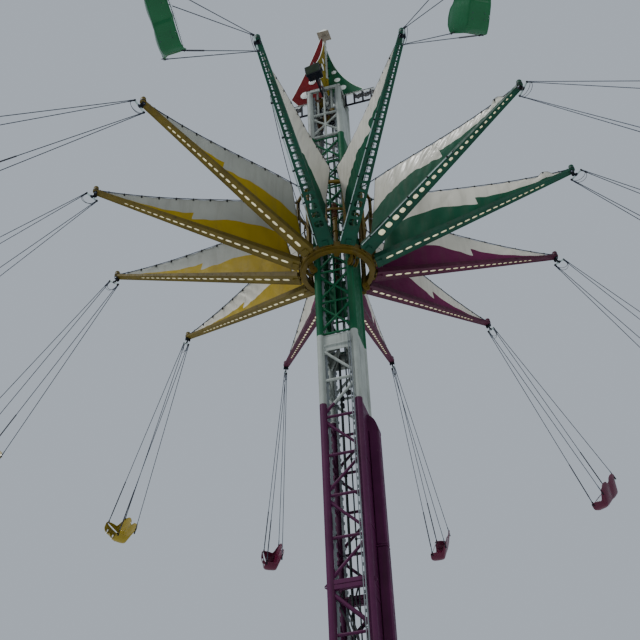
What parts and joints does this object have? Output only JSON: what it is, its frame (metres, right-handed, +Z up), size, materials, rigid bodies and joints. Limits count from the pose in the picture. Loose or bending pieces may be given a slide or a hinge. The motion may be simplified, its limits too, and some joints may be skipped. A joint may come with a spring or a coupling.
{
  "type": "chair swing ride",
  "caption": "Tower swing ride in flight: a lattice mast, a carriage that climbs it, and a turning star of bannered arms with double bucket seats on steel cables.",
  "frame": {"origin": "on the ground under the centre line of the mast", "axes": "+Z up along the mast; +X and +Y square to the faces of the mast, +X towards the face with the cable trunk"},
  "size_m": [20.7339, 21.3902, 30.4],
  "materials": {
    "purple_steel": "satin",
    "white_steel": "satin",
    "green_steel": "satin",
    "yellow_steel": "satin",
    "red_steel": "satin",
    "ochre_steel": "satin",
    "cable_steel": "satin",
    "banner_fabric": "matte",
    "green_shell": "gloss",
    "purple_shell": "gloss",
    "yellow_shell": "gloss"
  },
  "bodies": {
    "mast": {"base_frame": "purple_steel", "mast_lower_section": "purple_steel", "mast_middle_section": "white_steel", "mast_upper_section": "green_steel", "mast_head_section": "white_steel", "side_trunk": "purple_steel", "crown_pole": "white_steel", "crown_fin_red": "red_steel", "crown_fin_green": "green_steel", "crown_fins_yellow": "yellow_steel"},
    "carriage": {"carriage_frame": "ochre_steel"},
    "star": {"hub_frame": "ochre_steel", "arm_01": "green_steel", "arm_02": "green_steel", "arm_03": "green_steel", "arm_04": "green_steel", "arm_05": "purple_steel", "arm_06": "purple_steel", "arm_07": "purple_steel", "arm_08": "purple_steel", "arm_09": "yellow_steel", "arm_10": "yellow_steel", "arm_11": "yellow_steel", "arm_12": "yellow_steel", "banner_01": "banner_fabric", "banner_02": "banner_fabric", "banner_03": "banner_fabric", "banner_04": "banner_fabric", "banner_05": "banner_fabric", "banner_06": "banner_fabric", "banner_07": "banner_fabric", "banner_08": "banner_fabric", "banner_09": "banner_fabric", "banner_10": "banner_fabric", "banner_11": "banner_fabric", "banner_12": "banner_fabric"},
    "swing_01": {"cables_01": "cable_steel", "seat_01": "green_shell"},
    "swing_02": {"cables_02": "cable_steel", "seat_02": "green_shell"},
    "swing_03": {"cables_03": "cable_steel", "seat_03": "green_shell"},
    "swing_04": {"cables_04": "cable_steel", "seat_04": "green_shell"},
    "swing_05": {"cables_05": "cable_steel", "seat_05": "purple_shell"},
    "swing_06": {"cables_06": "cable_steel", "seat_06": "purple_shell"},
    "swing_07": {"cables_07": "cable_steel", "seat_07": "purple_shell"},
    "swing_08": {"cables_08": "cable_steel", "seat_08": "purple_shell"},
    "swing_09": {"cables_09": "cable_steel", "seat_09": "yellow_shell"},
    "swing_10": {"cables_10": "cable_steel", "seat_10": "yellow_shell"},
    "swing_11": {"cables_11": "cable_steel", "seat_11": "yellow_shell"},
    "swing_12": {"cables_12": "cable_steel", "seat_12": "yellow_shell"}
  },
  "joints": [
    {"name": "carriage_lift", "type": "slide", "parent": "mast", "child": "carriage", "axis": [0, 0, 1], "range_m": [-15.4, 1.2]},
    {"name": "star_spin", "type": "hinge", "parent": "carriage", "child": "star", "pos_m": [0, 0, 20.64], "axis": [0, 0, 1], "continuous": true},
    {"name": "swing_01_hinge", "type": "hinge", "parent": "star", "child": "swing_01", "pos_m": [0, -6.1, 22.03], "axis": [-0.9962, 0.0872, 0], "range_deg": [-48, 7]},
    {"name": "swing_02_hinge", "type": "hinge", "parent": "star", "child": "swing_02", "pos_m": [3.05, -5.28275, 22.03], "axis": [-0.8988, -0.4384, 0], "range_deg": [-48, 7]},
    {"name": "swing_03_hinge", "type": "hinge", "parent": "star", "child": "swing_03", "pos_m": [5.28275, -3.05, 22.03], "axis": [-0.5736, -0.8192, 0], "range_deg": [-45, 10]},
    {"name": "swing_04_hinge", "type": "hinge", "parent": "star", "child": "swing_04", "pos_m": [6.1, 0, 22.03], "axis": [-0.1045, -0.9945, 0], "range_deg": [-44, 11]},
    {"name": "swing_05_hinge", "type": "hinge", "parent": "star", "child": "swing_05", "pos_m": [5.28275, 3.05, 22.03], "axis": [0.4226, -0.9063, 0], "range_deg": [-45, 10]},
    {"name": "swing_06_hinge", "type": "hinge", "parent": "star", "child": "swing_06", "pos_m": [3.05, 5.28275, 22.03], "axis": [0.8387, -0.5446, 0], "range_deg": [-50, 5]},
    {"name": "swing_07_hinge", "type": "hinge", "parent": "star", "child": "swing_07", "pos_m": [0, 6.1, 22.03], "axis": [0.9986, -0.0523, 0], "range_deg": [-50, 5]},
    {"name": "swing_08_hinge", "type": "hinge", "parent": "star", "child": "swing_08", "pos_m": [-3.05, 5.28275, 22.03], "axis": [0.9063, 0.4226, 0], "range_deg": [-49, 6]},
    {"name": "swing_09_hinge", "type": "hinge", "parent": "star", "child": "swing_09", "pos_m": [-5.28275, 3.05, 22.03], "axis": [0.6561, 0.7547, 0], "range_deg": [-47, 8]},
    {"name": "swing_10_hinge", "type": "hinge", "parent": "star", "child": "swing_10", "pos_m": [-6.1, 0, 22.03], "axis": [0.1219, 0.9925, 0], "range_deg": [-45, 10]},
    {"name": "swing_11_hinge", "type": "hinge", "parent": "star", "child": "swing_11", "pos_m": [-5.28275, -3.05, 22.03], "axis": [-0.4226, 0.9063, 0], "range_deg": [-47, 8]},
    {"name": "swing_12_hinge", "type": "hinge", "parent": "star", "child": "swing_12", "pos_m": [-3.05, -5.28275, 22.03], "axis": [-0.8192, 0.5736, 0], "range_deg": [-48, 7]}
  ]
}
